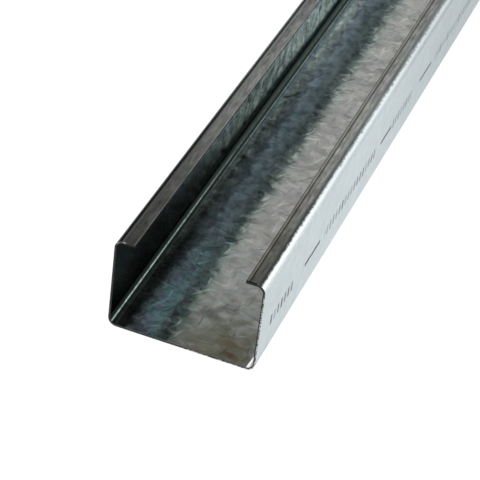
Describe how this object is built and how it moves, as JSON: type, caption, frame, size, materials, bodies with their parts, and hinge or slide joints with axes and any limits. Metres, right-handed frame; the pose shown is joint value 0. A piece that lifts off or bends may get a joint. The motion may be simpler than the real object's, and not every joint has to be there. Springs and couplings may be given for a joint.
{
  "type": "c-section steel profile",
  "caption": "Lipped C-section of galvanised sheet steel: a flat web with flanges folded up from its edges and lips folded inwards, used as light framing, purlin or stud.",
  "frame": {"origin": "centre of the back of the web, midway along the stock, on the floor that it lies on", "axes": "+Y along the stock, from the end seen in the picture to the far end; +Z out of the back of the web towards the lips; +X across the web to the right seen from the near end"},
  "size_m": [0.075, 2, 0.05],
  "materials": {
    "galvanised_steel": "hot-dip galvanised with a fine feathery spangle, light stains and rolling marks"
  },
  "bodies": {
    "root": {"c_section": "galvanised_steel"}
  },
  "joints": []
}
